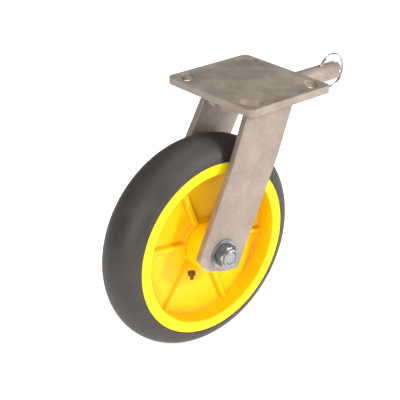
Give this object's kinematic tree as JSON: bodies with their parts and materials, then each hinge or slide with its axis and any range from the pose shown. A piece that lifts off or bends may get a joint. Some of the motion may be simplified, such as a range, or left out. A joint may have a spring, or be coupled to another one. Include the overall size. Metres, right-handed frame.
{
  "type": "swivel gate wheel",
  "caption": "Swivelling gate wheel with a slotted top plate, trailing two-leg fork, rubber-tyred ribbed wheel and a pull-ring swivel lock.",
  "frame": {"origin": "on the swivel axis at the centre of the top plate's upper face", "axes": "+Z out of the plate's upper face, +X from the swivel axis towards the swivel lock, Y along the wheel's axle; the wheel trails towards -X"},
  "size_m": [0.2849, 0.1116, 0.2434],
  "materials": {
    "fork_steel": "clear zinc over mottled hot-rolled steel, satin",
    "bearing_steel": "ground, lightly greased",
    "spring_steel": "bright drawn wire",
    "zinc_hardware": "zinc plated, satin",
    "nylon": "natural nylon",
    "core_yellow": "semi-gloss yellow",
    "tyre_rubber": "smooth dark grey rubber",
    "fitting_steel": "dull bronze-brown",
    "cage_steel": "pressed steel",
    "ring_steel": "nickel-plated wire"
  },
  "bodies": {
    "mount_plate": {"top_plate": "fork_steel", "inner_race": "bearing_steel", "lock_barrel": "fork_steel", "lock_bush": "bearing_steel", "lock_spring": "spring_steel"},
    "swivel_balls": {"swivel_balls": "bearing_steel"},
    "fork": {"fork_crown": "fork_steel", "leg_near": "fork_steel", "leg_far": "fork_steel", "axle_sleeve": "bearing_steel", "axle_bolt": "zinc_hardware", "axle_washer": "zinc_hardware", "axle_nut": "zinc_hardware", "nut_insert": "nylon"},
    "wheel": {"wheel_hub": "core_yellow", "wheel_web": "core_yellow", "wheel_rim": "core_yellow", "wheel_ribs": "core_yellow", "tyre": "tyre_rubber", "bearing_race": "bearing_steel", "hub_washers": "bearing_steel", "hub_grease_fitting": "fitting_steel"},
    "roller_cage": {"bearing_cage": "cage_steel", "bearing_rollers": "bearing_steel"},
    "lock_plunger": {"lock_plunger": "zinc_hardware"},
    "pull_ring": {"pull_ring": "ring_steel"}
  },
  "joints": [
    {"name": "swivel", "type": "hinge", "parent": "mount_plate", "child": "fork", "pos_m": [0, 0, -0.013], "axis": [0, 0, 1], "continuous": true},
    {"name": "ball_orbit", "type": "hinge", "parent": "mount_plate", "child": "swivel_balls", "pos_m": [0, 0, -0.013], "axis": [0, 0, 1], "continuous": true},
    {"name": "wheel_spin", "type": "hinge", "parent": "fork", "child": "wheel", "pos_m": [-0.0585, 0, -0.1397], "axis": [0, 1, 0], "continuous": true},
    {"name": "roller_orbit", "type": "hinge", "parent": "fork", "child": "roller_cage", "pos_m": [-0.0585, 0, -0.1397], "axis": [0, 1, 0], "continuous": true},
    {"name": "lock_pull", "type": "slide", "parent": "mount_plate", "child": "lock_plunger", "axis": [1, 0, 0], "range_m": [-0.004, 0.02], "stiffness_N_per_m": 300, "springref_m": -0.03, "deforming": ["lock_spring"]},
    {"name": "ring_tilt", "type": "hinge", "parent": "lock_plunger", "child": "pull_ring", "pos_m": [0.0915, 0, -0.0152], "axis": [0, 1, 0], "range_deg": [-6, 6]}
  ],
  "couplings": [
    {"joint": "ball_orbit", "follows": "swivel", "ratio": 0.5612},
    {"joint": "roller_orbit", "follows": "wheel_spin", "ratio": 0.6001}
  ]
}
